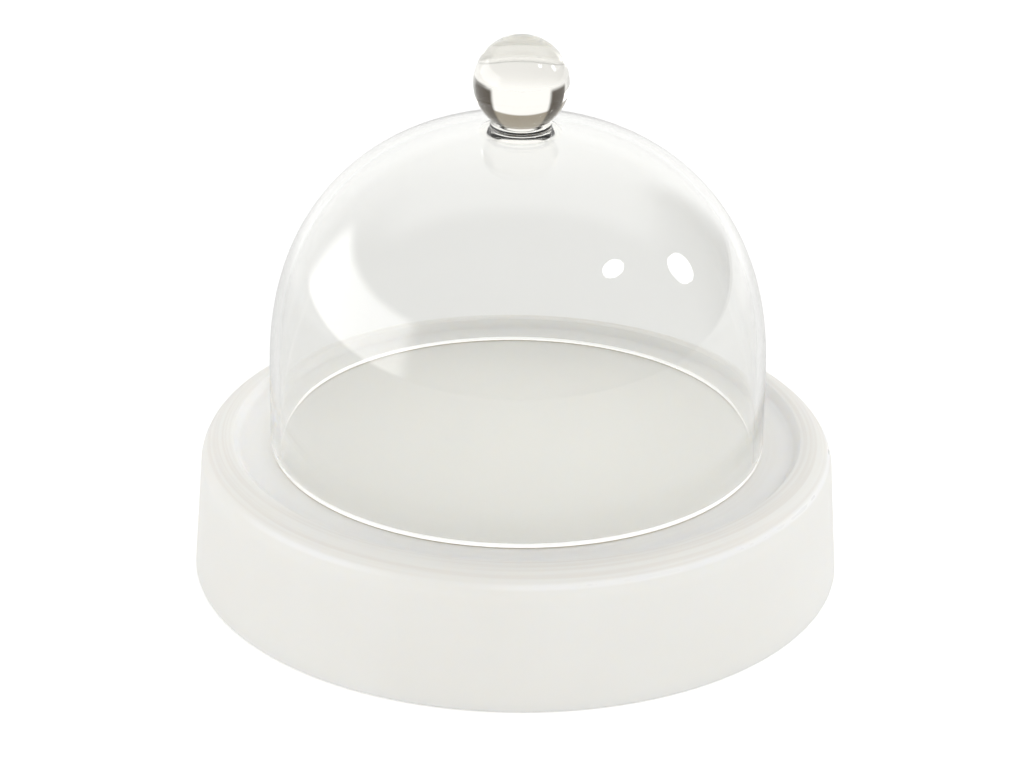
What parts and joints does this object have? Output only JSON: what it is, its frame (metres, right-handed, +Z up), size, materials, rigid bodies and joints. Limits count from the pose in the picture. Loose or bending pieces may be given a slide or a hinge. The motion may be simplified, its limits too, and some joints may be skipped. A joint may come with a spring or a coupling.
{
  "type": "cake stand dome",
  "caption": "Clear glass dome with a solid glass ball knob, standing in the shallow recess of a thick round base of satin frosted glass.",
  "frame": {"origin": "centre of the foot ring, on the table plane", "axes": "+Z up along the common axis of the base, the dome and the knob; the object is a body of revolution, so X and Y are free, and -Y faces the viewer"},
  "size_m": [0.2, 0.2, 0.1714],
  "materials": {
    "frosted_glass": "acid-etched satin, milky translucent",
    "clear_glass": "clear, polished, blown 3 mm wall",
    "clear_glass_solid": "clear, polished, solid"
  },
  "bodies": {
    "base": {"base": "frosted_glass"},
    "dome": {"dome_shell": "clear_glass", "knob_neck": "clear_glass_solid", "ball_knob": "clear_glass_solid"}
  },
  "joints": [
    {"name": "dome_lift", "type": "slide", "parent": "base", "child": "dome", "axis": [0, 0, 1], "range_m": [0, 0.18]}
  ]
}
